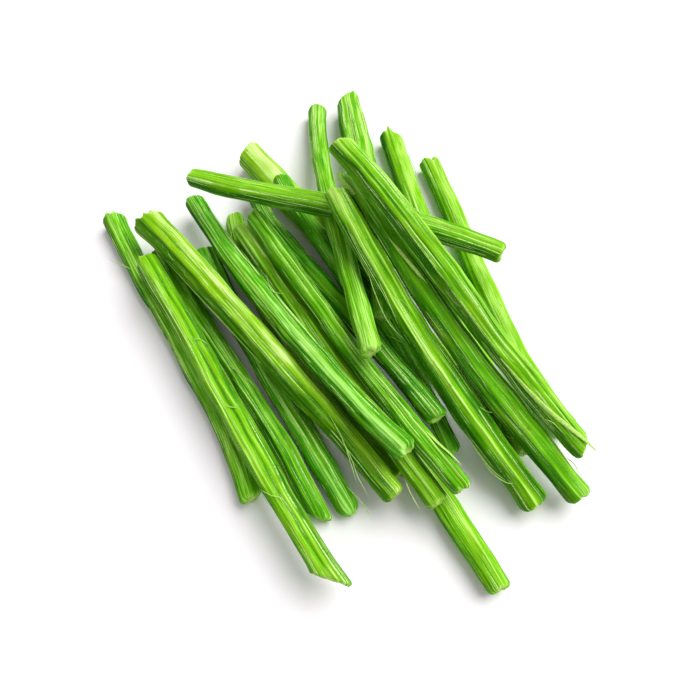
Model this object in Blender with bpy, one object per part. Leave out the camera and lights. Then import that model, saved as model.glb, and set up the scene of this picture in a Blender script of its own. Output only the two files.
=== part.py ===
"""A bunch of moringa pods: cut and peeled drumsticks lying in a loose heap on a flat surface."""

import math
from dataclasses import dataclass

import bmesh
import bpy
import numpy as np
from mathutils import Vector

MM = 0.001

# The skin of a pod, as shares of its half thickness
RIBS = 9
LOBES = 3
RIB_HEIGHT = 0.05
LOBE_HEIGHT = 0.025
SWELLINGS = 7
SWELLING_HEIGHT = 0.012

# Each rib has a crest and a furrow, and each swelling a thick ring and a thin one
SIDES = 2 * RIBS
RINGS = 2 * SWELLINGS + 1

# A slanted cut straightens out within this share of a pod's length
CUT_REACH = 0.1

# How the pods lie on the floor and on each other, in millimetres, and how finely that is measured
GAP = 0.5
FLAT_SPOT = 0.4
STATIONS = 41

# The highest value of t (1 - t) (1 - 2t), which gives the S-shaped sway
SWAY_PEAK = math.sqrt(3) / 18

ROUGHNESS = 0.42
SHARP_ANGLE = math.radians(50)

GRASS = (0.13, 0.42, 0.02)
LIME = (0.27, 0.58, 0.04)
PALE = (0.40, 0.66, 0.10)
OLIVE = (0.17, 0.34, 0.02)
EMERALD = (0.07, 0.30, 0.02)


@dataclass
class Pod:
    """One pod. Its far end is the one at +Y. Lengths are in millimetres and angles in degrees."""

    name: str
    far: tuple
    near: tuple
    bow: float
    sway: float
    arch: float
    thickness: tuple
    roll: float
    twist: float
    cuts: tuple
    colour: tuple
    far_height: float = 0.0
    near_height: float = 0.0

    def half_thickness(self, t):
        """At the share t of the length, through the values at the far end, the middle and the near end."""
        far, middle, near = self.thickness
        return (far * (1 - t) * (1 - 2 * t) + 4 * middle * t * (1 - t) + near * t * (2 * t - 1)) / 2

    def plan(self, t):
        """Where the centreline runs, seen from above: a straight chord with one bow and one sway."""
        far = np.array(self.far, float)
        chord = np.array(self.near, float) - far
        sideways = np.array([-chord[1], chord[0]]) / np.linalg.norm(chord)
        offset = self.bow * 4 * t * (1 - t) + self.sway * t * (1 - t) * (1 - 2 * t) / SWAY_PEAK
        return far + np.multiply.outer(t, chord) + np.multiply.outer(offset, sideways)

    def height(self, t):
        """The centreline's height once the pod is laid: a sloping line with a slight arch."""
        return self.far_height + (self.near_height - self.far_height) * t + self.arch * 4 * t * (1 - t)

    def turn(self, t):
        return math.radians(self.roll + self.twist * t)

    def radius(self, t, around):
        """The skin's distance from the centreline, at an angle counted from the crest of a lobe."""
        lobes = LOBE_HEIGHT * (1 - np.cos(LOBES * around))
        ribs = RIB_HEIGHT * (1 - np.cos(RIBS * around))
        swellings = SWELLING_HEIGHT * (1 - math.cos(2 * math.pi * SWELLINGS * t))
        return self.half_thickness(t) * (1 - lobes - ribs) * (1 - swellings)

    def depth(self, t):
        """How far the skin reaches below the centreline."""
        around = np.linspace(0, 2 * math.pi, SIDES, endpoint=False)
        return max(-self.radius(t, around) * np.sin(around + self.turn(t)))

    def cut_lean(self, t):
        """How far a slanted cut leans here, lengthways to sideways: most at an end, none further in."""
        far, near = (math.tan(math.radians(angle)) for angle in self.cuts)
        return far * max(0, 1 - t / CUT_REACH) + near * max(0, 1 - (1 - t) / CUT_REACH)


# Name, far end, near end, bow, sway, arch, thickness at the far end, middle and near end, roll, twist,
# slant of the far cut and the near cut, colour. A pod is laid on the floor or on those before it.
PODS = [
    Pod("left_outer_pod", (-120, 56), (-34, -102), 3, -2, 0, (12.5, 12.5, 12), 10, 20, (10, -5), GRASS),
    Pod("pointed_low_pod", (-92, 34), (-1, -111), 1, -1, 0, (12, 11.5, 10.5), 25, 15, (0, 40), GRASS),
    Pod("blunt_low_pod", (-67, 34), (13, -109), -2, -1, 0, (13, 12.5, 12), 5, -20, (0, 0), EMERALD),
    Pod("round_ended_pod", (-53, 59), (33, -93), -10, -2, 0, (11.5, 12, 12), 30, 10, (-10, 0), OLIVE),
    Pod("front_low_pod", (-9, -11), (79, -143), 2, -1, 0, (12, 12.5, 12.5), 15, 15, (0, 5), LIME),
    Pod("thick_pale_pod", (-47, 99), (64, -37), 0, 0, 0, (17, 17.5, 11), 20, 10, (-15, 0), PALE),
    Pod("slim_back_pod", (-26, 70), (62, -80), 2.5, -2, 3, (10, 10, 10.5), 0, 20, (5, -10), EMERALD),
    Pod("dark_back_pod", (-44, 74), (53, -69), -3, -2, 0, (9, 11.5, 11.5), 35, -10, (0, 5), EMERALD),
    Pod("spiked_back_pod", (37, 114), (95, -81), -3.5, 0, 0, (12, 14.5, 11.5), 12, 10, (22, 5), LIME),
    Pod("right_outer_pod", (59, 95), (119, -69), -5, 2, 0, (12.5, 12.5, 13), 22, 15, (15, 0), LIME),
    Pod("tall_back_pod", (11.5, 142), (29, -17), 2, -1, 3.5, (15, 17.5, 10.5), 8, 10, (-28, 0), GRASS),
    Pod("long_left_pod", (-95, 20), (5, -140), -0.5, 1, 0, (12, 13, 12.5), 18, 20, (-10, 40), LIME),
    Pod("broad_pale_pod", (-95, 43), (33, -103), 1, 0, 1, (17, 15, 12), 28, 15, (10, 0), PALE),
    Pod("olive_middle_pod", (-46, 42), (52, -107), -1, 0, 0, (11, 12, 12), 3, 10, (5, 0), OLIVE),
    Pod("ridged_middle_pod", (-38, 43), (62, -102.3), -2, 0, 0, (10, 10.5, 11), 33, 5, (0, 0), GRASS),
    Pod("striped_dark_pod", (-75, 64), (37, -88), -5, 0, 0, (11, 12.5, 12), 17, 15, (5, 0), EMERALD),
    Pod("steep_slim_pod", (-7, 136), (22, -43), -4, -1, 2, (11.5, 11, 11.5), 6, 10, (0, -12), GRASS),
    Pod("crossing_pod", (-70, 58), (89, 14.6), 2, -2, 2, (10, 13, 11), 24, 10, (0, 0), LIME),
    Pod("top_left_pod", (5, 39), (99, -105), -5, 0, 2, (11.5, 14, 14.5), 14, 15, (15, 5), LIME),
    Pod("top_middle_pod", (14, 46.5), (119, -102.5), -5.5, 0, 3, (8, 13.8, 12.8), 31, 10, (0, 0), GRASS),
    Pod("top_right_pod", (8, 56), (118.8, -82.5), -1.2, 1, 3, (13.5, 14.5, 11), 2, 15, (20, -28), LIME),
]


def needed_heights(pod, laid, shares):
    """The least height of the centreline at each share, clear of the floor and of the pods below."""
    places = pod.plan(shares)
    needed = np.array([pod.depth(t) for t in shares]) - FLAT_SPOT
    fine = np.linspace(0, 1, 4 * STATIONS)
    for other in laid:
        across = np.linalg.norm(places[:, None, :] - other.plan(fine)[None, :, :], axis=2)
        reach = pod.half_thickness(shares)[:, None] + other.half_thickness(fine)[None, :] + GAP
        rise = np.sqrt(np.maximum(reach**2 - across**2, 0))
        resting = np.where(reach > across, other.height(fine)[None, :] + rise, -np.inf)
        needed = np.maximum(needed, resting.max(axis=1))
    return needed


def lay(pod, laid):
    """Lowers the pod until it rests on two supports, one towards each end."""
    shares = np.linspace(0, 1, STATIONS)
    needed = needed_heights(pod, laid, shares) - pod.arch * 4 * shares * (1 - shares)
    middle = STATIONS // 2
    for i in range(middle):
        for j in range(middle, STATIONS):
            slope = (needed[j] - needed[i]) / (shares[j] - shares[i])
            line = needed[i] + slope * (shares - shares[i])
            if (line > needed - MM).all():
                pod.far_height, pod.near_height = line[0], line[-1]
                return


def ring(pod, t):
    """The corners of one ring of the skin, in metres."""
    before = max(0, t - 1 / RINGS)
    after = min(1, t + 1 / RINGS)
    along = Vector((*(pod.plan(after) - pod.plan(before)), pod.height(after) - pod.height(before)))
    along.normalize()
    side = Vector((-along.y, along.x, 0)).normalized()
    up = along.cross(side)
    centre = Vector((*pod.plan(t), pod.height(t)))
    corners = []
    for k in range(SIDES):
        around = 2 * math.pi * k / SIDES
        radius = pod.radius(t, around)
        sideways = radius * math.cos(around + pod.turn(t))
        upwards = radius * math.sin(around + pod.turn(t))
        lengthways = pod.cut_lean(t) * sideways
        corners.append((centre + side * sideways + up * upwards + along * lengthways) * MM)
    return corners


def pod_shape(pod):
    """The ribbed skin and its two cut faces, with flat spots where it would dip below the floor."""
    shape = bmesh.new()
    rings = [[shape.verts.new(corner) for corner in ring(pod, k / (RINGS - 1))] for k in range(RINGS)]
    for first, second in zip(rings, rings[1:]):
        for k in range(SIDES):
            after = (k + 1) % SIDES
            shape.faces.new((first[k], second[k], second[after], first[after]))
    shape.faces.new(rings[0])
    shape.faces.new(reversed(rings[-1]))
    bmesh.ops.recalc_face_normals(shape, faces=shape.faces)
    bmesh.ops.triangulate(shape, faces=shape.faces)
    everything = shape.verts[:] + shape.edges[:] + shape.faces[:]
    bmesh.ops.bisect_plane(shape, geom=everything, plane_co=(0, 0, 0), plane_no=(0, 0, 1), clear_inner=True)
    open_edges = [edge for edge in shape.edges if edge.is_boundary]
    flat_spots = bmesh.ops.holes_fill(shape, edges=open_edges)["faces"]
    bmesh.ops.triangulate(shape, faces=flat_spots)
    return shape


def skin_material(pod):
    material = bpy.data.materials.new(pod.name + "_skin")
    material.use_nodes = True
    shader = material.node_tree.nodes["Principled BSDF"]
    shader.inputs["Base Color"].default_value = (*pod.colour, 1)
    shader.inputs["Roughness"].default_value = ROUGHNESS
    shader.inputs["Metallic"].default_value = 0
    material.diffuse_color = (*pod.colour, 1)
    return material


def add_pod(pod):
    """The pod as an object with its origin at the middle of its centreline."""
    origin = Vector((*pod.plan(0.5), pod.height(0.5))) * MM
    shape = pod_shape(pod)
    bmesh.ops.translate(shape, verts=shape.verts, vec=-origin)
    mesh = bpy.data.meshes.new(pod.name)
    shape.to_mesh(mesh)
    shape.free()
    mesh.shade_smooth()
    mesh.set_sharp_from_angle(angle=SHARP_ANGLE)
    mesh.materials.append(skin_material(pod))
    item = bpy.data.objects.new(pod.name, mesh)
    item.location = origin
    bpy.context.scene.collection.objects.link(item)


for leftover in list(bpy.data.objects):
    bpy.data.objects.remove(leftover)

laid_pods = []
for next_pod in PODS:
    lay(next_pod, laid_pods)
    laid_pods.append(next_pod)
    add_pod(next_pod)
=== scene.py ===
"""The looks of a bunch of peeled moringa pods: fine skins, cut ends, peel strips and loose fibres."""

import math
from dataclasses import dataclass, field

import bpy
import numpy as np
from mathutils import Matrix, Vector


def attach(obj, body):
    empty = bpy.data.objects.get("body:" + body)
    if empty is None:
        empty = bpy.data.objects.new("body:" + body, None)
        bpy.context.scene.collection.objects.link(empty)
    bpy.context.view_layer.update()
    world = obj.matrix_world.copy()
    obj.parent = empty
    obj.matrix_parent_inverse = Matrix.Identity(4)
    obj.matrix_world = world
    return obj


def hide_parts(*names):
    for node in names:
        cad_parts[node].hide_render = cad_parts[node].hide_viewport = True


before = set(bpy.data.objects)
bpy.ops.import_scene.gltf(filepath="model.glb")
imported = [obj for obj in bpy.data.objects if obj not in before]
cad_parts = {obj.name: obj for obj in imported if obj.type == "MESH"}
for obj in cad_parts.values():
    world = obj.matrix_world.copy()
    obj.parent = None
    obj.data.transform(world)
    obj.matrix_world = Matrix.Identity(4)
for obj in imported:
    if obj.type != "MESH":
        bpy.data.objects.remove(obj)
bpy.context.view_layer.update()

# ---------------------------------------------------------------------------------------------------
# The table top
# A plain white board that the heap lies on, under one large soft lamp to the right and behind, with
# pale walls all round. The camera looks down on the pods from their near ends.
# ---------------------------------------------------------------------------------------------------

# Lengths are in metres, the lamp's tilt is in degrees and its softness in radians
TABLE_HALF = 1.5
TABLE_DIM = (0.93, 0.91, 0.93, 1)
TABLE_BRIGHT = (0.95, 0.93, 0.95, 1)
TABLE_CLOUDS = 6.0
TABLE_ROUGHNESS = 0.75
TABLE_UNEVENNESS = 0.1
LAMP_POWER = 3.2
LAMP_SOFTNESS = 0.9
LAMP_TILT = (-20, 31, 0)
WALL_COLOUR = (1, 0.94, 0.98, 1)
WALL_LIGHT = 0.47
VIEW_TARGET = Vector((0.010, -0.029, 0.020))
VIEW_ELEVATION = math.radians(65)
VIEW_DISTANCE = 0.350
VIEW_ANGLE = math.radians(52)
VIEW_NEAREST = 0.01

# Sockets of the Mix node for colours, by their place, as several have the same name
MIX_FACTOR = 0
MIX_OFF = 6
MIX_ON = 7
MIX_RESULT = 2

# How strongly the fine unevenness of a material turns its surface
BUMP_STRENGTH = 0.5


class Wire:
    """An output of a node in a material. Python's operators on it add Math nodes."""

    def __init__(self, material, socket=None):
        self.material = material
        self.socket = socket

    def node(self, kind, settings, sockets, output=0):
        """Adds a node of that kind and gives back one of its outputs."""
        tree = self.material.node_tree
        added = tree.nodes.new(kind)
        for name, value in settings.items():
            if name == "stops":
                ramp = added.color_ramp.elements
                while len(ramp) < len(value):
                    ramp.new(1)
                for element, (position, colour) in zip(ramp, value):
                    element.position = position
                    element.color = (*colour, 1)
            else:
                setattr(added, name, value)
        for name, value in sockets.items():
            if isinstance(value, Wire):
                tree.links.new(value.socket, added.inputs[name])
            else:
                added.inputs[name].default_value = value
        return Wire(self.material, added.outputs[output])

    def maths(self, operation, first, second):
        return self.node("ShaderNodeMath", {"operation": operation}, {0: first, 1: second})

    def __add__(self, other):
        return self.maths("ADD", self, other)

    __radd__ = __add__

    def __sub__(self, other):
        return self.maths("SUBTRACT", self, other)

    def __rsub__(self, other):
        return self.maths("SUBTRACT", other, self)

    def __mul__(self, other):
        return self.maths("MULTIPLY", self, other)

    __rmul__ = __mul__

    def between(self, low, high):
        """Rises smoothly from 0 where the value is low to 1 where it is high."""
        limits = {"Value": self, "From Min": low, "From Max": high}
        return self.node("ShaderNodeMapRange", {"interpolation_type": "SMOOTHSTEP"}, limits)

    def mix(self, off, on):
        """A colour: off where the value is 0 and on where it is 1."""
        sockets = {MIX_FACTOR: self, MIX_OFF: off, MIX_ON: on}
        return self.node("ShaderNodeMix", {"data_type": "RGBA"}, sockets, MIX_RESULT)

    def noise(self, scale, stretch=1.0, detail=2.0):
        """Noise at a place, drawn out into streaks along the third axis where stretch is small."""
        drawn = {0: self, 1: (1.0, 1.0, stretch)}
        place = self.node("ShaderNodeVectorMath", {"operation": "MULTIPLY"}, drawn)
        return self.node("ShaderNodeTexNoise", {}, {"Vector": place, "Scale": scale, "Detail": detail})

    def patches(self, scale, stretch, detail, low, high):
        """Such noise, cut off so that it is 0 below low and 1 above high."""
        return self.noise(scale, stretch, detail).between(low, high)

    def attribute(self, name, output):
        """A value that the mesh carries at each of its points."""
        return self.node("ShaderNodeAttribute", {"attribute_name": name}, {}, output)

    def bump(self, distance):
        """The normal of a surface with this height, where 1 stands for the distance in metres."""
        sockets = {"Height": self, "Strength": BUMP_STRENGTH, "Distance": distance}
        return self.node("ShaderNodeBump", {}, sockets)


def new_material(name):
    """A material with its Principled shader, and a wire to start its nodes from."""
    material = bpy.data.materials.new(name)
    material.use_nodes = True
    return material, material.node_tree.nodes["Principled BSDF"], Wire(material)


def feed(shader, name, wire):
    """Links the wire to the shader's input of that name."""
    wire.material.node_tree.links.new(wire.socket, shader.inputs[name])


def add_object(name, points, faces):
    """A smooth mesh object from points in metres."""
    mesh = bpy.data.meshes.new(name)
    mesh.from_pydata([tuple(point) for point in points], [], [tuple(face) for face in faces])
    mesh.shade_smooth()
    item = bpy.data.objects.new(name, mesh)
    bpy.context.scene.collection.objects.link(item)
    return item


table_material, table_shader, table_wire = new_material("white_table")
table_cloud = table_wire.node("ShaderNodeTexCoord", {}, {}, "Object").noise(TABLE_CLOUDS)
feed(table_shader, "Base Color", table_cloud.mix(TABLE_DIM, TABLE_BRIGHT))
feed(table_shader, "Roughness", TABLE_ROUGHNESS + TABLE_UNEVENNESS * table_cloud)

table_corners = [(x * TABLE_HALF, y * TABLE_HALF, 0) for x, y in ((-1, -1), (1, -1), (1, 1), (-1, 1))]
table = add_object("table_top", table_corners, [(0, 1, 2, 3)])
table.data.materials.append(table_material)

lamp = bpy.data.lights.new("soft_lamp", "SUN")
lamp.energy = LAMP_POWER
lamp.angle = LAMP_SOFTNESS
lamp_item = bpy.data.objects.new("soft_lamp", lamp)
lamp_item.rotation_euler = [math.radians(tilt) for tilt in LAMP_TILT]
bpy.context.scene.collection.objects.link(lamp_item)

walls = bpy.data.worlds.new("pale_walls")
walls.use_nodes = True
walls.node_tree.nodes["Background"].inputs["Color"].default_value = WALL_COLOUR
walls.node_tree.nodes["Background"].inputs["Strength"].default_value = WALL_LIGHT
bpy.context.scene.world = walls
bpy.context.scene.view_settings.view_transform = "Standard"

camera_data = bpy.data.cameras.new("camera")
camera_data.angle = VIEW_ANGLE
camera_data.clip_start = VIEW_NEAREST
camera = bpy.data.objects.new("camera", camera_data)
view_back = Vector((0, -math.cos(VIEW_ELEVATION), math.sin(VIEW_ELEVATION)))
camera.location = VIEW_TARGET + VIEW_DISTANCE * view_back
camera.rotation_euler = (math.radians(90) - VIEW_ELEVATION, 0, 0)
bpy.context.scene.collection.objects.link(camera)
bpy.context.scene.camera = camera

# ---------------------------------------------------------------------------------------------------
# The low pods
# Five drumsticks that lie on the table under the rest. Each is the seed pod of a moringa tree, cut to
# length and peeled, so that its nine ribs show as pale ridges of fibre with green flesh between them.
# ---------------------------------------------------------------------------------------------------

MM = 0.001

# The skin of a pod, as shares of its half thickness
RIBS = 9
LOBES = 3
RIB_HEIGHT = 0.05
LOBE_HEIGHT = 0.025
SWELLINGS = 7
SWELLING_HEIGHT = 0.012

# A slanted cut straightens out within this share of a pod's length
CUT_REACH = 0.1

# A pod's direction is measured over this share of its length each way
TANGENT_REACH = 1 / 15

# How the pods lie on the table and on each other, in millimetres, and how finely that is measured
GAP = 0.5
FLAT_SPOT = 0.4
STATIONS = 41
DEPTH_SIDES = 18

# The highest value of t (1 - t) (1 - 2t), which gives the S-shaped sway
SWAY_PEAK = math.sqrt(3) / 18

# The fine skin's mesh: points round it, rows along it, how much these crowd towards the ends, sharp edges
SIDES = 120
ROWS = 110
END_CROWDING = 0.75
SHARP_ANGLE = math.radians(60)

# Some of the waves start anywhere in this many radians, which is almost a full turn
ANY_PHASE = 6

# Lesser ribs between the nine, as (number round the pod, height in millimetres), and how they drift
LESSER_RIBS = ((5, 0.06), (7, 0.05), (13, 0.06), (16, 0.05), (22, 0.04), (31, 0.03), (38, 0.02))
RIB_DRIFTS = (0.4, 1.6)
RIB_DRIFT_CYCLES = (0.3, 1.3)

# Dents, as (number round the pod, number along it, depth in millimetres)
DENTS = ((1, 3.5, 0.12), (2, 6, 0.10), (3, 9, 0.07))

# Uneven swellings, as (number along the pod, height in millimetres), and bends of this share of them
WOBBLE = ((1.6, 0.30), (3.1, 0.18), (6.3, 0.09), (11, 0.05))
BEND_SHARE = 0.8

# Fibre fills the furrows unevenly, in waves round the pod, and fully near the ends
FILLED_BROAD = 2
FILLED_NARROW = 3
FILLED_DRIFT = 2
FILLED_FURROWS = 0.85
FILLED_SHARE = 0.5
FILLED_SPREAD = 0.45
FILLED_REACH = 4

# How much paler the crests, the lobes and the lesser ribs are, for each unit of contrast
CREST_PALENESS = 1.6
LOBE_PALENESS = 0.6
LOBE_DRIFT = 1.5
LESSER_PALENESS = 5

# The darker left flank, partly the pods' own darker colour and partly painted shade on the side away from the
# lamp: how dark, and how steeply and how far round it sets in
PAINTED_FLANK_SHADE = 0.24
FLANK_SLOPE = 1.7
FLANK_START = 0.7

# Fine lines along the skin: half widths in degrees, tones for each unit of contrast, starts and lengths
FINE_LINES = 26
LINE_WIDTHS = (1.4, 3.0)
LINE_TONES = (-0.7, 1.2, 2.0)
LINE_STRENGTHS = (0.5, 1)
LINE_RELIEF = 0.5
LINE_STARTS = (-0.3, 0.8)
LINE_LENGTHS = (0.2, 0.8)

# How stripes and fine lines wander to the sides and fade out at their ends
EVERYWHERE = (-1, 2)
STRIPE_WANDER = math.radians(4)
WANDER_CYCLES = (0.5, 1.5)
STRIPE_FADE = 0.03

# The cut ends, in millimetres: how ragged they are, and how far in the tips and the pale rim reach
RAGGED = 0.45
TIP_REACH = 3.0
RIM_REACH = 1.1

# Waves round a ragged edge, and how much paler its rim is, partly evenly and partly in waves
RAGGED_WAVES = (2, 4, 9, 15, 27)
RIM_PALENESS = 0.5
RIM_WAVES = 5
RIM_EVEN = 0.7
RIM_UNEVEN = 0.3

# How deep the skin draws in at a rounded end, as a share of its thickness
DRAWN_IN = 0.1
DRAWN_IN_PER_MM = 0.13
DRAWN_IN_MOST = 0.75

# How far a cut face bulges, in millimetres, and its rings, as shares of the way out from its middle
BULGE_PER_MM = 0.25
BULGE_LOSS = 0.6
CUT_RINGS = (0.93, 0.72, 0.45, 0.18)

# The patterns are those on a round bar of this radius, shifted by up to so many millimetres for each pod
BAR_RADIUS = 6
PATTERN_SHIFT = 400

# Patterns of the skin: scale for each millimetre, stretch and detail, and for some a low and a high limit
STREAKS = (1.7, 0.035, 3)
FINE_THREADS = (4.5, 0.02, 2)
CLOUDS = (0.22, 0.25, 2)
GRAIN = (2.4, 0.6, 3)
FADED_PATCHES = (0.35, 0.12, 2, 0.48, 0.68)
STRANDS = (1.6, 0.009, 1, 0.60, 0.66)
STRAND_STRETCHES = (0.15, 0.4, 2, 0.40, 0.50)
FUZZ = (3.6, 0.02, 2, 0.60, 0.68)
SCARS = (0.5, 0.35, 3, 0.70, 0.76)

# Limits between which a pattern's value counts, and the middle of every pattern
STREAK_LIMITS = (0.43, 0.58)
STRAND_GRAIN = (0.30, 0.50)
FUZZ_GRAIN = (0.42, 0.58)
PITH_LIMITS = (0.25, 0.8)
MIDDLE = 0.5

# How much each pattern changes the skin, the first two for each unit of contrast
STREAK_STRENGTH = 2.4
THREAD_STRENGTH = 3.0
CLOUD_STRENGTH = 0.8
GRAIN_STRENGTH = 0.16
FADED_STRENGTH = 0.35
STRAND_STRENGTH = 0.8
FUZZ_STRENGTH = 0.4
SCAR_STRENGTH = 0.6
PITH_GRAIN = 0.35

# How rough the skin is, more in its streaks and where it is cut, and how its bumps add up
SKIN_ROUGHNESS = 0.46
STREAK_ROUGHNESS = 0.16
CUT_ROUGHNESS = 0.15
STREAK_BUMP = 0.6
THREAD_BUMP = 0.3
STRAND_BUMP = 0.4
GRAIN_BUMP = 0.3
SKIN_BUMP = 0.00015

# Colours of the four steps of a skin, from the furrows to the crests
COLOUR_STEPS = (0.0, 0.34, 0.67, 1.0)
GRASS = ((0.020, 0.14, 0.001), (0.066, 0.31, 0.001), (0.140, 0.50, 0.002), (0.42, 0.80, 0.120))
LIME = ((0.025, 0.16, 0.001), (0.098, 0.37, 0.001), (0.210, 0.58, 0.003), (0.49, 0.84, 0.130))
PALE = ((0.042, 0.19, 0.001), (0.14, 0.40, 0.002), (0.29, 0.60, 0.012), (0.64, 0.88, 0.280))
OLIVE = ((0.032, 0.14, 0.001), (0.092, 0.31, 0.001), (0.18, 0.48, 0.003), (0.42, 0.76, 0.120))
EMERALD = ((0.012, 0.10, 0.001), (0.038, 0.26, 0.002), (0.105, 0.46, 0.004), (0.37, 0.78, 0.140))

# Colours of the fibre, the cut flesh and its pith, and the marks on the skin
FIBRE = (0.64, 0.93, 0.30)
FLESH = (0.36, 0.66, 0.06)
PITH = (0.60, 0.84, 0.26)
SCAR = (0.16, 0.17, 0.02)
FADED = (0.21, 0.42, 0.003)
GLOSS = 0.07


@dataclass
class Pod:
    """One pod. Its far end is the one at +Y. Lengths are in millimetres and angles in degrees.

    A stripe is a band along the pod: its angle up from the pod's right side over its top, its half
    width, how far it stands proud, how much paler it is, and the shares of the length where it begins
    and stops. Darker stripes on the left flank, at about 140 to 165 degrees and away from the lamp, are
    partly the pod's own darker colour and partly painted shade. A tip is where a cut end reaches out: its
    angle, half width and length. Rounding is how far from the far end and the near end the skin begins to
    draw in. Tone is how pale the flesh is, and contrast is how much its lines differ from it.
    """

    name: str
    far: tuple
    near: tuple
    bow: float
    sway: float
    arch: float
    thickness: tuple
    roll: float
    twist: float
    cuts: tuple
    colours: tuple
    stripes: list = field(default_factory=list)
    far_tips: list = field(default_factory=list)
    near_tips: list = field(default_factory=list)
    rounding: tuple = (1.4, 2.2)
    tone: float = 0.5
    contrast: float = 0.12
    far_height: float = 0.0
    near_height: float = 0.0

    @property
    def length(self):
        return math.dist(self.far, self.near)

    def half_thickness(self, t):
        """At the share t of the length, through the values at the far end, the middle and the near end."""
        far, middle, near = self.thickness
        return (far * (1 - t) * (1 - 2 * t) + 4 * middle * t * (1 - t) + near * t * (2 * t - 1)) / 2

    def plan(self, t):
        """Where the centreline runs, seen from above: a straight chord with one bow and one sway."""
        far = np.array(self.far, float)
        chord = np.array(self.near, float) - far
        sideways = np.array([-chord[1], chord[0]]) / np.linalg.norm(chord)
        offset = self.bow * 4 * t * (1 - t) + self.sway * t * (1 - t) * (1 - 2 * t) / SWAY_PEAK
        return far + np.multiply.outer(t, chord) + np.multiply.outer(offset, sideways)

    def height(self, t):
        """The centreline's height once the pod is laid: a sloping line with a slight arch."""
        return self.far_height + (self.near_height - self.far_height) * t + self.arch * 4 * t * (1 - t)

    def turn(self, t):
        return np.radians(self.roll + self.twist * t)

    def radius(self, t, around):
        """The skin's distance from the centreline, at an angle counted from the crest of a lobe."""
        lobes = LOBE_HEIGHT * (1 - np.cos(LOBES * around))
        ribs = RIB_HEIGHT * (1 - np.cos(RIBS * around))
        swellings = SWELLING_HEIGHT * (1 - np.cos(2 * math.pi * SWELLINGS * t))
        return self.half_thickness(t) * (1 - lobes - ribs) * (1 - swellings)

    def depth(self, t):
        """How far the skin reaches below the centreline."""
        around = np.linspace(0, 2 * math.pi, DEPTH_SIDES, endpoint=False)
        return max(-self.radius(t, around) * np.sin(around + self.turn(t)))

    def cut_lean(self, t):
        """How far a slanted cut leans here, lengthways to sideways: most at an end, none further in."""
        far, near = (math.tan(math.radians(angle)) for angle in self.cuts)
        return far * np.maximum(0, 1 - t / CUT_REACH) + near * np.maximum(0, 1 - (1 - t) / CUT_REACH)

    def directions(self, t):
        """Unit vectors along the pod, to its side and up from it, at each share of its length."""
        before = np.maximum(0, t - TANGENT_REACH)
        after = np.minimum(1, t + TANGENT_REACH)
        rise = self.height(after) - self.height(before)
        along = np.column_stack([self.plan(after) - self.plan(before), rise])
        along /= np.linalg.norm(along, axis=1)[:, None]
        side = np.column_stack([-along[:, 1], along[:, 0], np.zeros(len(t))])
        side /= np.linalg.norm(side, axis=1)[:, None]
        return along, side, np.cross(along, side)


def lay(pod, laid):
    """Lowers the pod until it rests on two supports, one towards each end."""
    shares = np.linspace(0, 1, STATIONS)
    fine = np.linspace(0, 1, 4 * STATIONS)
    places = pod.plan(shares)
    needed = np.array([pod.depth(t) for t in shares]) - FLAT_SPOT
    for other in laid:
        across = np.linalg.norm(places[:, None, :] - other.plan(fine)[None, :, :], axis=2)
        reach = pod.half_thickness(shares)[:, None] + other.half_thickness(fine)[None, :] + GAP
        rise = np.sqrt(np.maximum(reach**2 - across**2, 0))
        resting = np.where(reach > across, other.height(fine)[None, :] + rise, -np.inf)
        needed = np.maximum(needed, resting.max(axis=1))
    needed -= pod.arch * 4 * shares * (1 - shares)
    middle = STATIONS // 2
    for i in range(middle):
        for j in range(middle, STATIONS):
            slope = (needed[j] - needed[i]) / (shares[j] - shares[i])
            line = needed[i] + slope * (shares - shares[i])
            if (line > needed - MM).all():
                pod.far_height, pod.near_height = line[0], line[-1]
                return


def apart(first, second):
    """The angle between two directions round a pod, from 0 to pi."""
    return np.abs((first - second + math.pi) % (2 * math.pi) - math.pi)


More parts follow.
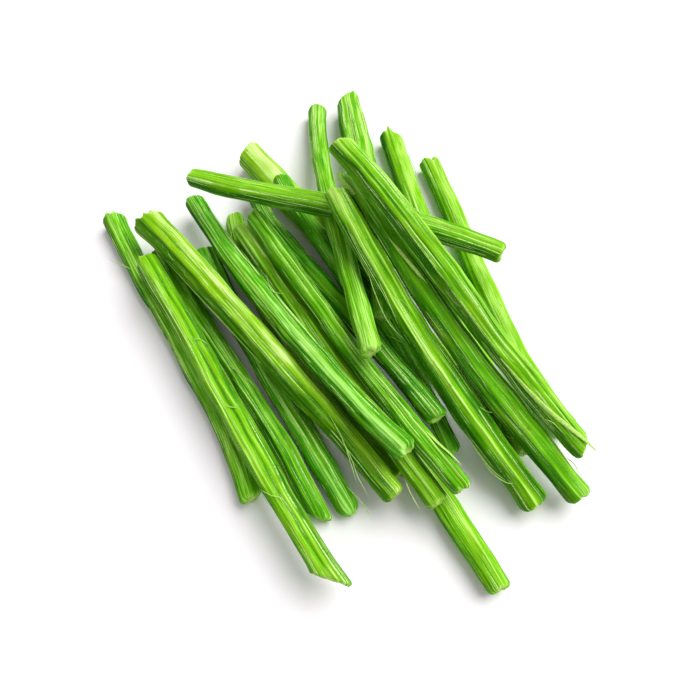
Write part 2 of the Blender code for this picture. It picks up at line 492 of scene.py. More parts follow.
def skin_relief(pod, t, around, dice):
    """How far lesser ribs, dents and stripes stand out, in millimetres, and how pale they are."""
    out = np.zeros(np.broadcast(t, around).shape)
    crest = np.cos(RIBS * around)
    uneven = np.cos(FILLED_BROAD * around + dice.uniform(0, ANY_PHASE))
    uneven = uneven + np.cos(FILLED_NARROW * around + dice.uniform(0, ANY_PHASE) + FILLED_DRIFT * t)
    from_end = np.minimum(t, 1 - t) * pod.length
    filled = FILLED_SHARE + FILLED_SPREAD * uneven + np.exp(-from_end / FILLED_REACH)
    filled = np.clip(filled, 0, 1) * FILLED_FURROWS
    out = out + filled * RIB_HEIGHT * (1 - crest) * pod.half_thickness(t)
    # Partly painted shade: the skin on each pod's left side, away from the lamp, is made darker, on top of
    # its own darker colour there
    flank = np.clip(-FLANK_SLOPE * np.cos(around + pod.turn(t)) - FLANK_START, 0, 1)
    lobe = np.cos(LOBES * around + dice.uniform(0, ANY_PHASE) + LOBE_DRIFT * t)
    ridges = CREST_PALENESS * (1 - filled) * crest + LOBE_PALENESS * lobe
    pale = pod.tone + pod.contrast * ridges - PAINTED_FLANK_SHADE * flank
    for count, height in LESSER_RIBS:
        drift = dice.uniform(*RIB_DRIFTS)
        drift = drift * np.sin(2 * math.pi * (t * dice.uniform(*RIB_DRIFT_CYCLES) + dice.uniform()))
        wave = np.cos(count * around + dice.uniform(0, 2 * math.pi) + drift)
        out = out + height * wave
        pale = pale + pod.contrast * LESSER_PALENESS * height * wave
    for count, cycles, height in DENTS:
        swell = np.cos(2 * math.pi * (cycles * t + dice.uniform()))
        out = out + height * swell * np.cos(count * around + dice.uniform(0, 2 * math.pi))
    lines = []
    for _ in range(FINE_LINES):
        begin = dice.uniform(*LINE_STARTS)
        tone = pod.contrast * dice.choice(LINE_TONES) * dice.uniform(*LINE_STRENGTHS)
        angle = dice.uniform(0, 360)
        width = dice.uniform(*LINE_WIDTHS)
        lines.append((angle, width, LINE_RELIEF * tone, tone, begin, begin + dice.uniform(*LINE_LENGTHS)))
    for angle, width, height, tone, *span in pod.stripes + lines:
        begin, stop = span or EVERYWHERE
        wander = np.sin(2 * math.pi * (t * dice.uniform(*WANDER_CYCLES) + dice.uniform()))
        middle = math.radians(angle) - pod.turn(0.5) + STRIPE_WANDER * wander
        band = np.exp(-((apart(around, middle) / math.radians(width)) ** 2))
        band = band / (1 + np.exp(-(t - begin) / STRIPE_FADE)) / (1 + np.exp(-(stop - t) / STRIPE_FADE))
        out = out + height * band
        pale = pale + tone * band
    return out, pale


def end_shape(pod, tips, around, dice):
    """How far a cut end reaches out at each angle, in millimetres: a ragged edge with some tips."""
    reach = np.zeros(around.shape)
    for count in RAGGED_WAVES:
        reach = reach + RAGGED / math.sqrt(count) * np.cos(count * around + dice.uniform(0, 2 * math.pi))
    for angle, width, length in tips:
        middle = math.radians(angle) - pod.turn(0.5)
        reach = reach + length * np.exp(-((apart(around, middle) / math.radians(width)) ** 2))
    return reach


def row_shares():
    """Shares of the length for the rows of the mesh, crowded towards both ends."""
    even = np.linspace(0, 1, ROWS)
    crowded = 0.5 - 0.5 * np.cos(math.pi * even)
    return END_CROWDING * crowded + (1 - END_CROWDING) * even


def skin_points(pod, t, around, relief, dice):
    """The skin in millimetres, as rows of points round the pod, and the pod's direction at each row."""
    along, side, up = pod.directions(t)
    centre = np.column_stack([pod.plan(t), pod.height(t)])
    rows = t[:, None]
    swell = np.zeros(len(t))
    for cycles, height in WOBBLE:
        swell += height * np.cos(2 * math.pi * (cycles * t + dice.uniform()))
        bend = BEND_SHARE * height * np.cos(2 * math.pi * (cycles * t + dice.uniform()))
        centre += side * bend[:, None]
    radius = pod.radius(rows, around[None, :]) + relief + swell[:, None]
    to_far = rows * pod.length
    to_near = (1 - rows) * pod.length
    for distance, rounding in ((to_far, pod.rounding[0]), (to_near, pod.rounding[1])):
        inwards = np.clip(1 - distance / rounding, 0, 1)
        depth = min(DRAWN_IN_MOST, DRAWN_IN + DRAWN_IN_PER_MM * rounding)
        radius = radius * (1 - depth * (1 - np.sqrt(1 - inwards**2)))
    angle = around[None, :] + pod.turn(rows)
    sideways = radius * np.cos(angle)
    lengthways = pod.cut_lean(rows) * sideways
    far_edge = end_shape(pod, pod.far_tips, around, dice)
    near_edge = end_shape(pod, pod.near_tips, around, dice)
    lengthways = lengthways - far_edge * np.exp(-to_far / TIP_REACH)
    lengthways = lengthways + near_edge * np.exp(-to_near / TIP_REACH)
    points = centre[:, None, :] + side[:, None, :] * sideways[..., None]
    points = points + up[:, None, :] * (radius * np.sin(angle))[..., None]
    return points + along[:, None, :] * lengthways[..., None], along


def pod_mesh(pod, dice):
    """Points, faces and the values that the material reads, for the skin and its two cut faces."""
    t = row_shares()
    around = np.linspace(0, 2 * math.pi, SIDES, endpoint=False)
    relief, pale = skin_relief(pod, t[:, None], around[None, :], dice)
    grid, along = skin_points(pod, t, around, relief, dice)
    from_end = np.minimum(t, 1 - t)[:, None] * pod.length
    rim_paleness = RIM_EVEN + RIM_UNEVEN * np.cos(RIM_WAVES * around + dice.uniform(0, ANY_PHASE))
    pale = pale + RIM_PALENESS * np.exp(-((from_end / RIM_REACH) ** 2)) * rim_paleness
    place = np.empty(grid.shape)
    place[..., 0] = BAR_RADIUS * np.cos(around)
    place[..., 1] = BAR_RADIUS * np.sin(around)
    place[..., 2] = t[:, None] * pod.length
    blocks = [grid.reshape(-1, 3)]
    places = [place.reshape(-1, 3)]
    pales = [pale.reshape(-1)]
    cores = [np.ones(ROWS * SIDES)]
    cuts = [np.zeros(ROWS * SIDES)]
    start = np.arange(ROWS - 1)[:, None] * SIDES
    k = np.arange(SIDES)[None, :]
    following = (k + 1) % SIDES
    squares = np.stack([start + k, start + SIDES + k, start + SIDES + following, start + following], -1)
    faces = [squares.reshape(-1, 4)]
    count = ROWS * SIDES
    triangles = []
    for row, outward, rounding in ((0, -1, pod.rounding[0]), (ROWS - 1, 1, pod.rounding[1])):
        rim = grid[row]
        middle = rim.mean(axis=0)
        dome = BULGE_PER_MM * rounding - BULGE_LOSS
        edge = np.arange(row * SIDES, (row + 1) * SIDES)
        for share in (*CUT_RINGS, 0):
            bulge = outward * along[row] * dome * (1 - share**2)
            if share == 0:
                inner = np.full(SIDES, count)
                added = (middle + bulge)[None, :]
            else:
                inner = np.arange(count, count + SIDES)
                added = middle + share * (rim - middle) + bulge
            size = len(added)
            blocks.append(added)
            places.append((place[row] * (share, share, 1))[:size])
            pales.append(np.full(size, pod.tone))
            cores.append(np.full(size, share))
            cuts.append(np.ones(size))
            turned = np.roll(np.arange(SIDES), -1)
            if share == 0:
                fan = np.column_stack([edge, inner, edge[turned]])
                triangles.append(fan if outward > 0 else fan[:, ::-1])
            else:
                band = np.column_stack([edge, inner, inner[turned], edge[turned]])
                faces.append(band if outward > 0 else band[:, ::-1])
            edge = inner
            count += size
    points = np.concatenate(blocks)
    points[:, 2] = np.maximum(points[:, 2], 0)
    all_faces = [tuple(face) for block in faces + triangles for face in block.tolist()]
    values = [np.concatenate(pieces) for pieces in (places, pales, cores, cuts)]
    return points, all_faces, *values


def skin_material(pod, dice):
    """Green flesh in streaks along the pod, pale fibres on it, and a paler core where it is cut."""
    material, shader, wire = new_material(pod.name + "_skin")
    place = wire.attribute("skin_place", "Vector")
    pale = wire.attribute("pale", "Fac")
    core = wire.attribute("core", "Fac")
    cut = wire.attribute("cut", "Fac")
    shift = tuple(dice.uniform(0, PATTERN_SHIFT, 3))
    place = place.node("ShaderNodeVectorMath", {"operation": "ADD"}, {0: place, 1: shift})

    streaks = place.noise(*STREAKS)
    threads = place.noise(*FINE_THREADS)
    clouds = place.noise(*CLOUDS)
    grain = place.noise(*GRAIN)
    lines = streaks.between(*STREAK_LIMITS)
    fine = (lines - MIDDLE) * (STREAK_STRENGTH * pod.contrast)
    fine = fine + (threads - MIDDLE) * (THREAD_STRENGTH * pod.contrast)
    level = pale + fine + CLOUD_STRENGTH * (clouds - MIDDLE) + GRAIN_STRENGTH * (grain - MIDDLE)
    stops = list(zip(COLOUR_STEPS, pod.colours))
    skin = level.node("ShaderNodeValToRGB", {"stops": stops}, {0: level})
    skin = (FADED_STRENGTH * place.patches(*FADED_PATCHES)).mix(skin, (*FADED, 1))

    strand = place.patches(*STRANDS) * place.patches(*STRAND_STRETCHES)
    fuzz = place.patches(*FUZZ) * grain.between(*FUZZ_GRAIN)
    fibre = STRAND_STRENGTH * strand * grain.between(*STRAND_GRAIN) + FUZZ_STRENGTH * fuzz
    skin = fibre.mix(skin, (*FIBRE, 1))
    skin = (SCAR_STRENGTH * place.patches(*SCARS)).mix(skin, (*SCAR, 1))

    outer = (core + PITH_GRAIN * (grain - MIDDLE)).between(*PITH_LIMITS)
    feed(shader, "Base Color", cut.mix(skin, outer.mix((*PITH, 1), (*FLESH, 1))))
    feed(shader, "Roughness", SKIN_ROUGHNESS + STREAK_ROUGHNESS * streaks + CUT_ROUGHNESS * cut)
    shader.inputs["Specular IOR Level"].default_value = GLOSS
    height = STREAK_BUMP * streaks + THREAD_BUMP * threads + STRAND_BUMP * strand + GRAIN_BUMP * grain
    feed(shader, "Normal", height.bump(SKIN_BUMP))
    return material


def add_pod(pod, laid):
    """Lays the pod and shows its fine skin in place of the plain solid."""
    lay(pod, laid)
    laid.append(pod)
    dice = np.random.default_rng(len(laid))
    points, faces, places, pales, cores, cuts = pod_mesh(pod, dice)
    item = add_object(pod.name + "_peeled", points * MM, faces)
    item.data.set_sharp_from_angle(angle=SHARP_ANGLE)
    item.data.attributes.new("skin_place", "FLOAT_VECTOR", "POINT").data.foreach_set("vector", places.ravel())
    for name, values in (("pale", pales), ("core", cores), ("cut", cuts)):
        item.data.attributes.new(name, "FLOAT", "POINT").data.foreach_set("value", values)
    item.data.materials.append(skin_material(pod, dice))
    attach(item, "root")
    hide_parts(pod.name)


# Name, far end, near end, bow, sway, arch, thickness at the far end, middle and near end, roll, twist,
# slant of the far cut and the near cut, colours. A pod is laid on the table or on those before it.
LOW_PODS = [
    Pod("left_outer_pod", (-120, 56), (-34, -102), 3, -2, 0, (12.5, 12.5, 12), 10, 20, (10, -5), GRASS,
        stripes=[(165, 22, 0, -0.3), (124, 6, 0.25, 0.3), (87, 7, 0.25, 0.28), (105, 8, 0, 0.12)],
        far_tips=[(122, 14, 1.8), (85, 14, 1.5)], near_tips=[(150, 25, 2)]),
    Pod("pointed_low_pod", (-92, 34), (-1, -111), 1, -1, 0, (12, 11.5, 10.5), 25, 15, (0, 40), GRASS,
        stripes=[(85, 8, 0.25, 0.3), (112, 5, 0.2, 0.22), (140, 16, -0.1, -0.25), (100, 4, -0.2, -0.2)],
        near_tips=[(75, 22, 1.5)], rounding=(1.2, 2.5), tone=0.46),
    Pod("blunt_low_pod", (-67, 34), (13, -109), -2, -1, 0, (13, 12.5, 12), 5, -20, (0, 0), EMERALD,
        stripes=[(125, 4, 0.1, 0.22), (110, 4, 0.1, 0.18), (92, 14, 0, 0.15), (95, 20, 0.2, 0.3, 0.93, 2)],
        rounding=(1.2, 4.5), tone=0.58),
    Pod("round_ended_pod", (-53, 59), (33, -93), -10, -2, 0, (11.5, 12, 12), 30, 10, (-10, 0), OLIVE,
        stripes=[(60, 25, 0, -0.2), (115, 20, 0, 0.15)], rounding=(6, 1.2), tone=0.72, contrast=0.08),
    Pod("front_low_pod", (-9, -11), (79, -143), 2, -1, 0, (12, 12.5, 12.5), 15, 15, (0, 5), LIME,
        stripes=[(158, 22, 0, -0.35), (140, 4, 0.1, 0.2), (116, 4, 0.3, 0.35), (75, 25, 0, 0.15)]),
]

laid_pods = []
for low_pod in LOW_PODS:
    add_pod(low_pod, laid_pods)

# ---------------------------------------------------------------------------------------------------
# The back pods
# Six more drumsticks, most of them on the table behind and to the right of the low ones. They were
# peeled more evenly, so their flesh is smoother, and one of them still has a spike of fibre.
# ---------------------------------------------------------------------------------------------------

BACK_PODS = [
    Pod("thick_pale_pod", (-47, 99), (64, -37), 0, 0, 0, (17, 17.5, 11), 20, 10, (-15, 0), PALE,
        # Its last stripe darkens the near half with painted deep shade, where the pods above it lie over it
        stripes=[(75, 35, 0, 0.3, -1, 0.3), (112, 5, 0, -0.1), (100, 70, 0, -0.5, 0.45, 2)],
        tone=0.62, contrast=0.04),
    Pod("slim_back_pod", (-26, 70), (62, -80), 2.5, -2, 3, (10, 10, 10.5), 0, 20, (5, -10), EMERALD,
        stripes=[(100, 14, 0, 0.15)], contrast=0.08),
    Pod("dark_back_pod", (-44, 74), (53, -69), -3, -2, 0, (9, 11.5, 11.5), 35, -10, (0, 5), EMERALD,
        stripes=[(80, 10, 0, 0.1), (110, 4, 0.1, 0.15)], tone=0.28, contrast=0.07),
    Pod("spiked_back_pod", (37, 114), (95, -81), -3.5, 0, 0, (12, 14.5, 11.5), 12, 10, (22, 5), LIME,
        stripes=[(165, 26, 0, -0.38), (122, 6, 0.3, 0.2), (90, 20, 0, 0.12), (35, 10, 0.1, 0.3, -1, 0.3),
                 (150, 40, 0, -0.3, 0.8, 2)],
        far_tips=[(103, 10, 5)], contrast=0.06, tone=0.66),
    Pod("right_outer_pod", (59, 95), (119, -69), -5, 2, 0, (12.5, 12.5, 13), 22, 15, (15, 0), LIME,
        stripes=[(165, 22, 0, -0.3), (90, 16, 0, 0.22), (125, 6, 0, 0.1)],
        far_tips=[(128, 20, 2), (86, 12, -2.2), (45, 14, 3)], contrast=0.06, tone=0.68),
    Pod("tall_back_pod", (11.5, 142), (29, -17), 2, -1, 3.5, (15, 17.5, 10.5), 8, 10, (-28, 0), GRASS,
        stripes=[(162, 20, 0, -0.3), (110, 14, 0, 0.2), (80, 10, -0.1, -0.1), (55, 7, 0.2, 0.3),
                 (140, 5, 0, -0.15)],
        far_tips=[(60, 15, 2.5), (150, 45, -2)], tone=0.70, contrast=0.08),
]

for back_pod in BACK_PODS:
    add_pod(back_pod, laid_pods)

# ---------------------------------------------------------------------------------------------------
# The second layer
# Five drumsticks that lie side by side on the low pods. They are the ones seen best, with ridges of
# pale fibre, thin stripes where the peeler has run, and one that is cut to a long point.
# ---------------------------------------------------------------------------------------------------

SECOND_LAYER = [
    Pod("long_left_pod", (-95, 20), (5, -140), -0.5, 1, 0, (12, 13, 12.5), 18, 20, (-10, 40), LIME,
        stripes=[(165, 20, 0, -0.15), (122, 3, 0.35, 0.5, 0.0, 0.75), (98, 18, 0, 0.12),
                 (84, 5, -0.15, -0.25), (35, 15, 0, -0.35), (60, 6, 0.1, 0.25, 0.3, 2), (150, 5, 0.1, 0.2)],
        far_tips=[(125, 30, 2)], near_tips=[(30, 40, 2.5), (165, 55, -5)], rounding=(3.5, 1.5), contrast=0.08,
        tone=0.5),
    Pod("broad_pale_pod", (-95, 43), (33, -103), 1, 0, 1, (17, 15, 12), 28, 15, (10, 0), PALE,
        # The stripe at 78 degrees is a raised pale ridge, and partly a painted highlight on the side towards
        # the lamp
        stripes=[(155, 25, 0, -0.5), (128, 12, 0, -0.35), (110, 5, 0.3, 0.1), (78, 14, 0.2, 0.16),
                 (64, 4, 0.2, 0.25), (170, 5, 0.3, 0.5, 0.1, 0.8), (100, 60, 0, -0.35, 0.62, 2)],
        far_tips=[(138, 9, 2.2), (100, 9, 2.2), (72, 9, 2)], contrast=0.08, tone=0.54),
    Pod("olive_middle_pod", (-46, 42), (52, -107), -1, 0, 0, (11, 12, 12), 3, 10, (5, 0), OLIVE,
        stripes=[(110, 70, 0, 0.45, -1, 0.1), (110, 70, 0, 0.12, 0.72, 2), (125, 4, 0.2, 0.2),
                 (85, 4, 0.2, 0.25)],
        contrast=0.09),
    Pod("ridged_middle_pod", (-38, 43), (62, -102.3), -2, 0, 0, (10, 10.5, 11), 33, 5, (0, 0), GRASS,
        stripes=[(74, 6, 0.6, 0.6), (60, 5, -0.3, -0.4), (120, 18, 0, 0.12), (95, 4, -0.1, -0.15)],
        far_tips=[(130, 14, 1.5), (80, 12, 1.8)], near_tips=[(60, 20, 1.5)], contrast=0.09),
    Pod("striped_dark_pod", (-75, 64), (37, -88), -5, 0, 0, (11, 12.5, 12), 17, 15, (5, 0), EMERALD,
        stripes=[(165, 15, 0, -0.2), (138, 4, 0.2, 0.3), (118, 4, 0.2, 0.3), (98, 4, 0.2, 0.35),
                 (78, 12, 0, 0.3), (88, 9, 0.4, 0.5, 0.5, 2)],
        near_tips=[(120, 12, 1.5), (45, 14, 2)], tone=0.5),
]

for second_pod in SECOND_LAYER:
    add_pod(second_pod, laid_pods)

# ---------------------------------------------------------------------------------------------------
# The two that cross the rest
# A slim drumstick that lies steeply over the back ones, and one that lies across the heap and holds
# the three topmost up.
# ---------------------------------------------------------------------------------------------------

CROSSING_PODS = [
    Pod("steep_slim_pod", (-7, 136), (22, -43), -4, -1, 2, (11.5, 11, 11.5), 6, 10, (0, -12), GRASS,
        stripes=[(70, 12, 0, 0.2), (112, 5, 0.2, 0.3), (90, 5, -0.1, -0.2), (95, 40, 0, 0.35, 0.88, 2)],
        near_tips=[(60, 20, 1.2)], tone=0.62),
    Pod("crossing_pod", (-70, 58), (89, 14.6), 2, -2, 2, (10, 13, 11), 24, 10, (0, 0), LIME,
        stripes=[(162, 26, 0, -0.3), (85, 14, 0.1, 0.2), (128, 4, 0.1, 0.2), (108, 4, -0.1, -0.15)],
        far_tips=[(120, 40, 1)], near_tips=[(150, 16, -1.2), (60, 16, -1)], contrast=0.07, tone=0.54),
]

for crossing_pod in CROSSING_PODS:
    add_pod(crossing_pod, laid_pods)

# ---------------------------------------------------------------------------------------------------
# The three topmost
# Three thick drumsticks, which lean from the crossing one down to the table. Their ribs show the most,
# with pale crests and deep furrows.
# ---------------------------------------------------------------------------------------------------

TOP_PODS = [
    Pod("top_left_pod", (5, 39), (99, -105), -5, 0, 2, (11.5, 14, 14.5), 14, 15, (15, 5), LIME,
        stripes=[(152, 24, 0, -0.3), (113, 4, 0.5, 0.5, -1, 0.55), (68, 4, 0.5, 0.5, -1, 0.45),
                 (90, 6, 0, 0.12), (102, 5, 0.7, 0.55, 0.45, 2), (55, 24, 0, -0.4, 0.42, 2),
                 (22, 30, 0.8, 0, 0.15, 0.6), (135, 35, 0.1, 0.9, -1, 0.05)],
        far_tips=[(120, 14, 1.5)], rounding=(1.2, 2.5), contrast=0.08, tone=0.48),
    Pod("top_middle_pod", (14, 46.5), (119, -102.5), -5.5, 0, 3, (8, 13.8, 12.8), 31, 10, (0, 0), GRASS,
        stripes=[(100, 15, 0, 0.1), (58, 7, 0.3, 0.4, 0.3, 2), (82, 3, 0.2, 0.2, 0.3, 2), (165, 22, 0, -0.3),
                 (120, 4, -0.1, -0.15), (130, 60, 0, 0.8, -1, 0.05), (90, 90, 0, 0.15, 0.92, 2),
                 (165, 30, 0.6, 0, 0.15, 0.6)],
        far_tips=[(150, 30, 5)], near_tips=[(60, 16, 0.8)], rounding=(1.2, 3), tone=0.47, contrast=0.07),
    Pod("top_right_pod", (8, 56), (118.8, -82.5), -1.2, 1, 3, (13.5, 14.5, 11), 2, 15, (20, -28), LIME,
        stripes=[(152, 24, 0, -0.35), (118, 3, 0.2, 0.3), (104, 4, 0.2, 0.3), (92, 3, -0.2, -0.2),
                 (80, 4, 0.2, 0.35), (66, 3, -0.15, -0.3), (45, 12, 0, 0.15), (100, 80, 0, 0.5, -1, 0.01),
                 (90, 90, 0, 0.3, 0.97, 2)],
        far_tips=[(120, 30, 0.8)], rounding=(1.2, 2), contrast=0.10, tone=0.45),
]

for top_pod in TOP_PODS:
    add_pod(top_pod, laid_pods)

# ---------------------------------------------------------------------------------------------------
# Loose fibres and peel strips
# Threads of the fibrous skin that the peeler has torn loose. Most lie along a pod and some stand off
# it, and five wider strips still hang on at one end. They are the pods' own pale outer fibre.
# ---------------------------------------------------------------------------------------------------

# Corners round a sliver, steps between two of its knots, and how steeply it widens from its ends
SLIVER_SIDES = 6
KNOT_STEPS = 6
TAPER_RATE = 4

# The half thickness of a thread and how far it stays off the table, in millimetres
THREAD_RADIUS = 0.22
TABLE_CLEARANCE = 0.05

# Colours of the slivers, and their grain: how fine it is for each metre, its limits and its unevenness
STRIP_COLOUR = (0.52, 0.82, 0.17)
THREAD_COLOUR = (0.52, 0.82, 0.20)
DARK_SHARE = 0.75
SLIVER_GRAIN = (900.0, 1.0, 3)
GRAIN_LIMITS = (0.3, 0.65)
SLIVER_ROUGHNESS = 0.45
SLIVER_UNEVENNESS = 0.2
SLIVER_BUMP = 0.0001

# Short threads anywhere on the pods: starts as shares, lengths and lifts in millimetres, and angles
SHORT_THREADS = 300
SHORT_STARTS = (0.02, 0.88)
SHORT_LENGTHS = (6, 24)
SHORT_ANGLES = (20, 185)
SHORT_SWERVES = (-9, 9)
SHORT_LIFTS = (0.0, 0.3)
SHORT_RADII = (0.06, 0.12)
FIRST_LIFT = 0.05

# The other knots of a short thread, as shares of its length and of its swerve
SHORT_KNOTS = ((0.35, 1), (0.7, 1.5), (1, 1))

# Long threads along the crests of each pod's ribs
LONG_THREADS = 8
LONG_KNOTS = 5
LONG_STARTS = (0.0, 0.6)
LONG_SHARES = (0.15, 0.38)
LONG_SWERVES = (-3, 3)
LONG_LIFTS = (0.05, 0.3)
LONG_RADII = (0.08, 0.15)


@dataclass
class Sliver:
    """A thread or a strip on a pod. Each of its knots is a share of the pod's length, an angle round it
    and a lift off its skin, with the name of another pod where it lies on that one. Its half width and
    half thickness are in millimetres, and blunt is what share of them is left at its ends."""

    pod: str
    knots: list
    width: float = THREAD_RADIUS
    thickness: float = THREAD_RADIUS
    blunt: float = 0.15


def skin_spot(pod, share, angle, lift):
    """A point off a pod's skin and the direction that leads straight out there."""
    t = np.array([share])
    along, side, up = pod.directions(t)
    turned = math.radians(angle)
    outward = side[0] * math.cos(turned) + up[0] * math.sin(turned)
    skin = pod.radius(share, turned - pod.turn(share))
    radius = max(skin, pod.half_thickness(share) * (1 - RIB_HEIGHT)) + lift
    return np.array([*pod.plan(share), pod.height(share)]) + outward * radius, outward


def smooth_path(knots):
    """Points on one smooth curve through the knots, by Catmull and Rom's rule."""
    ends = np.vstack([2 * knots[0] - knots[1], knots, 2 * knots[-1] - knots[-2]])
    points = []
    for k in range(len(knots) - 1):
        before, start, stop, after = ends[k:k + 4]
        for u in np.arange(KNOT_STEPS) / KNOT_STEPS:
            squared = (2 * before - 5 * start + 4 * stop - after) * u**2
            cubed = (3 * start - before - 3 * stop + after) * u**3
            points.append(start + 0.5 * ((stop - before) * u + (squared + cubed)))
    return np.array(points + [knots[-1]])


def sliver_mesh(sliver, pods):
    """Points and faces of a closed band, rounded across and drawn in at both ends."""
    spots = []
    outs = []
    for share, angle, lift, *other in sliver.knots:
        pod = pods[other[0] if other else sliver.pod]
        spot, outward = skin_spot(pod, share, angle, lift)
        spots.append(spot)
        outs.append(outward)
    centre = smooth_path(np.array(spots))
    out = smooth_path(np.array(outs))
    along = np.gradient(centre, axis=0)
    across = np.cross(along, out)
    across /= np.linalg.norm(across, axis=1)[:, None]
    out = np.cross(across, along)
    out /= np.linalg.norm(out, axis=1)[:, None]
    shares = np.linspace(0, 1, len(centre))
    taper = sliver.blunt + (1 - sliver.blunt) * np.minimum(1, TAPER_RATE * np.minimum(shares, 1 - shares))
    points = []
    for k in range(SLIVER_SIDES):
        around = 2 * math.pi * k / SLIVER_SIDES
        sideways = sliver.width * taper * math.cos(around)
        upwards = sliver.thickness * taper * math.sin(around)
        points.append(centre + across * sideways[:, None] + out * upwards[:, None])
    points = np.stack(points, 1).reshape(-1, 3)
    points[:, 2] = np.maximum(points[:, 2], TABLE_CLEARANCE)
    faces = []
    for row in range(len(centre) - 1):
        for k in range(SLIVER_SIDES):
            after = (k + 1) % SLIVER_SIDES
            first = row * SLIVER_SIDES
            faces.append((first + k, first + after, first + SLIVER_SIDES + after, first + SLIVER_SIDES + k))
    last = (len(centre) - 1) * SLIVER_SIDES
    faces.append(tuple(range(SLIVER_SIDES))[::-1])
    faces.append(tuple(last + k for k in range(SLIVER_SIDES)))
    return points, faces


def add_slivers(name, slivers, pods, colour):
    """One object of all these slivers, with a fine grain."""
    points = []
    faces = []
    for sliver in slivers:
        some_points, some_faces = sliver_mesh(sliver, pods)
        faces += [tuple(corner + len(points) for corner in face) for face in some_faces]
        points += list(some_points * MM)
    item = add_object(name, points, faces)
    material, shader, wire = new_material(name + "_fibre")
    grain = wire.node("ShaderNodeTexCoord", {}, {}, "Object").noise(*SLIVER_GRAIN)
    dark = tuple(DARK_SHARE * channel for channel in colour)
    feed(shader, "Base Color", grain.between(*GRAIN_LIMITS).mix((*dark, 1), (*colour, 1)))
    feed(shader, "Roughness", SLIVER_ROUGHNESS + SLIVER_UNEVENNESS * grain)
    feed(shader, "Normal", grain.bump(SLIVER_BUMP))
    shader.inputs["Specular IOR Level"].default_value = GLOSS
    item.data.materials.append(material)
    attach(item, "root")


# The strips, and the threads that are placed one by one
PEEL_STRIPS = [
    Sliver("top_right_pod", [(0.7, 142, 0.0), (0.792, 134, 0.3), (0.86, 123, 0.35),
                             (0.922, 103, 0.4), (0.976, 82, 0.6), (1.02, 66, 0.2)],
           width=1.1, thickness=0.35, blunt=0.35),
    Sliver("top_middle_pod", [(0.195, 110, 0.1), (0.245, 99, 0.7), (0.285, 93, 1.0),
                              (0.32, 87, 1.1), (0.355, 78, 0.5)],
           width=1.0, thickness=0.25, blunt=0.1),
    Sliver("ridged_middle_pod", [(0.8, 60, 0.0), (0.87, 50, 0.6), (0.915, 40, 1.2),
                                 (0.955, 30, 1.6)], width=1.1, thickness=0.3, blunt=0.3),
    Sliver("top_middle_pod", [(0.06, 150, 0.0), (0.02, 156, 1.6), (-0.012, 150, 3.4),
                              (-0.022, 130, 4.6)], width=2.0, thickness=0.3, blunt=0.5),
    Sliver("tall_back_pod", [(0.02, 46, -0.1), (0.1, 42, 0.4), (0.19, 40, 0.5), (0.27, 42, 0.0)],
           width=0.9, thickness=0.3, blunt=0.3),
]
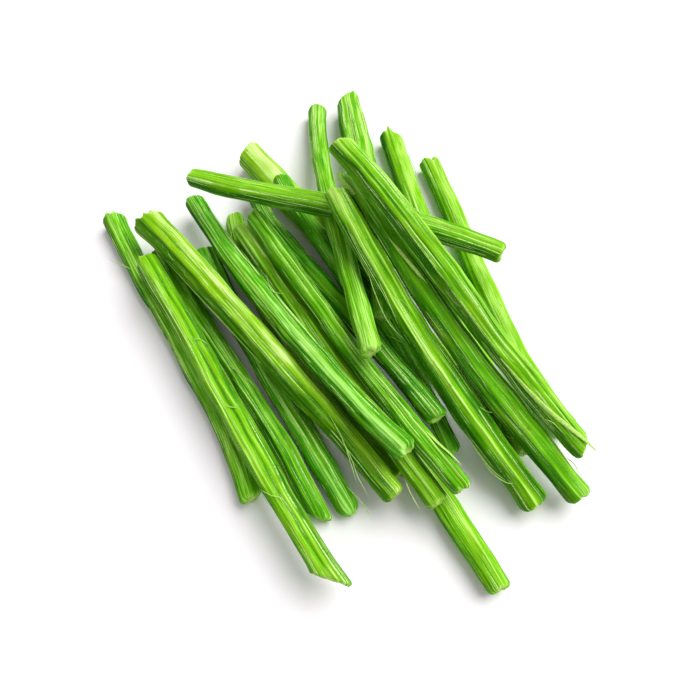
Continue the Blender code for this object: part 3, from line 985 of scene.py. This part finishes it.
PLACED_THREADS = [
    Sliver("long_left_pod", [(0.08, 122, 0.2), (0.2, 121, 0.3), (0.3, 119, 0.3), (0.42, 117, 0.3),
                             (0.52, 116, 0.1)], width=0.3, thickness=0.2),
    Sliver("broad_pale_pod", [(0.12, 165, 0.3), (0.3, 170, 0.5), (0.45, 168, 0.4), (0.6, 166, 0.3),
                              (0.72, 160, 0.2)], width=0.25, thickness=0.2),
    Sliver("left_outer_pod", [(0.22, 122, 0.0), (0.19, 150, 0.6), (0.16, 172, 2.5), (0.13, 180, 6)]),
    Sliver("round_ended_pod", [(0.03, 139, 0.2), (0.085, 123, 0.3),
                               (0.23, 73, 0.3, "striped_dark_pod")]),
    Sliver("olive_middle_pod", [(0.196, 130, 0.3), (0.422, 39, 0.5, "striped_dark_pod"),
                                (0.442, 40, 0.7, "striped_dark_pod"), (0.284, 110, 0.3)]),
    Sliver("slim_back_pod", [(0.188, 20, 0.3), (0.24, 40, 1.5),
                             (0.578, 130, 0.4, "steep_slim_pod")]),
    Sliver("top_left_pod", [(0.288, 125, 0.2), (0.344, 134, 0.3), (0.412, 150, 0.3),
                            (0.474, 153, 0.2)]),
    Sliver("top_left_pod", [(0.25, 150, 0.2), (0.31, 165, 1.5), (0.39, 175, 2.5), (0.46, 165, 0.6)]),
    Sliver("slim_back_pod", [(0.62, 116, 0.2), (0.65, 80, 0.6), (0.67, 50, 0.4)]),
    Sliver("broad_pale_pod", [(0.75, 87, 0.2), (0.82, 112, 0.5), (0.88, 156, 1.2), (0.92, 178, 4)]),
    Sliver("broad_pale_pod", [(0.8, 104, 0.2), (0.87, 140, 0.6), (0.91, 165, 2), (0.96, 176, 4)]),
    Sliver("blunt_low_pod", [(0.93, 50, 0.0), (0.965, 36, 0.9), (1.0, 30, 2.0), (1.05, 36, 2.2)]),
    Sliver("long_left_pod", [(0.73, 155, 0.5), (0.76, 121, 0.4), (0.78, 92, 0.3), (0.83, 80, 0.2)]),
    Sliver("top_left_pod", [(0.7, 60, 0.2), (0.73, 35, 0.8), (0.71, 170, 0.4, "top_middle_pod")]),
    Sliver("spiked_back_pod", [(0.946, 140, 0.3), (0.96, 120, 0.8),
                               (0.792, 160, 0.4, "top_middle_pod")]),
    Sliver("olive_middle_pod", [(0.9, 165, 0.4), (0.94, 172, 2), (0.99, 176, 3)]),
    Sliver("top_right_pod", [(0.25, 50, 0.2), (0.28, 30, 1.0), (0.3, 24, 2.2)]),
    Sliver("top_right_pod", [(0.88, 168, 0.3), (0.892, 146, 0.6), (0.905, 138, 0.3),
                             (0.94, 135, 0.2)]),
    Sliver("top_middle_pod", [(0.9, 40, 0.3), (0.925, 36, 1.4), (0.95, 42, 0.4)]),
    Sliver("top_left_pod", [(0.75, 168, 0.2), (0.81, 176, 0.8), (0.86, 168, 0.6), (0.9, 145, 0.2)]),
    Sliver("top_left_pod", [(0.8, 178, 0.5), (0.86, 176, 1.2), (0.9, 150, 0.5), (0.915, 127, 0.2)]),
    Sliver("pointed_low_pod", [(0.47, 108, 0.2), (0.522, 77, 0.4), (0.6, 20, 0.6)]),
    Sliver("long_left_pod", [(0.3, 95, 0.2), (0.31, 62, 0.4), (0.328, 36, 0.3)]),
    Sliver("long_left_pod", [(0.506, 105, 0.2), (0.518, 85, 0.4), (0.526, 60, 0.3)]),
    Sliver("ridged_middle_pod", [(0.656, 90, 0.2), (0.704, 80, 0.4), (0.75, 72, 0.4),
                                 (0.8, 60, 0.2)]),
    Sliver("spiked_back_pod", [(0.06, 32, 0.2), (0.1, 22, 0.9), (0.14, 20, 1.1), (0.19, 26, 0.3)]),
]

threads = list(PLACED_THREADS)
dice = np.random.default_rng(21)
for _ in range(SHORT_THREADS):
    pod = laid_pods[dice.integers(len(laid_pods))]
    begin = dice.uniform(*SHORT_STARTS)
    reach = dice.uniform(*SHORT_LENGTHS) / pod.length
    angle = dice.uniform(*SHORT_ANGLES)
    swerve = dice.uniform(*SHORT_SWERVES)
    lifts = dice.uniform(*SHORT_LIFTS, len(SHORT_KNOTS))
    radius = dice.uniform(*SHORT_RADII)
    knots = [(begin, angle, FIRST_LIFT)]
    for (onward, sideways), lift in zip(SHORT_KNOTS, lifts):
        knots.append((begin + onward * reach, angle + sideways * swerve, lift))
    threads.append(Sliver(pod.name, knots, radius, radius))

for pod in laid_pods:
    for _ in range(LONG_THREADS):
        crest = 2 * math.pi * dice.integers(RIBS) / RIBS
        begin = dice.uniform(*LONG_STARTS)
        knots = []
        for share in begin + np.linspace(0, dice.uniform(*LONG_SHARES), LONG_KNOTS):
            angle = math.degrees(crest + pod.turn(share)) + dice.uniform(*LONG_SWERVES)
            knots.append((share, angle, dice.uniform(*LONG_LIFTS)))
        radius = dice.uniform(*LONG_RADII)
        threads.append(Sliver(pod.name, knots, radius, radius))

pods_by_name = {pod.name: pod for pod in laid_pods}
add_slivers("peel_strips", PEEL_STRIPS, pods_by_name, STRIP_COLOUR)
add_slivers("loose_fibres", threads, pods_by_name, THREAD_COLOUR)
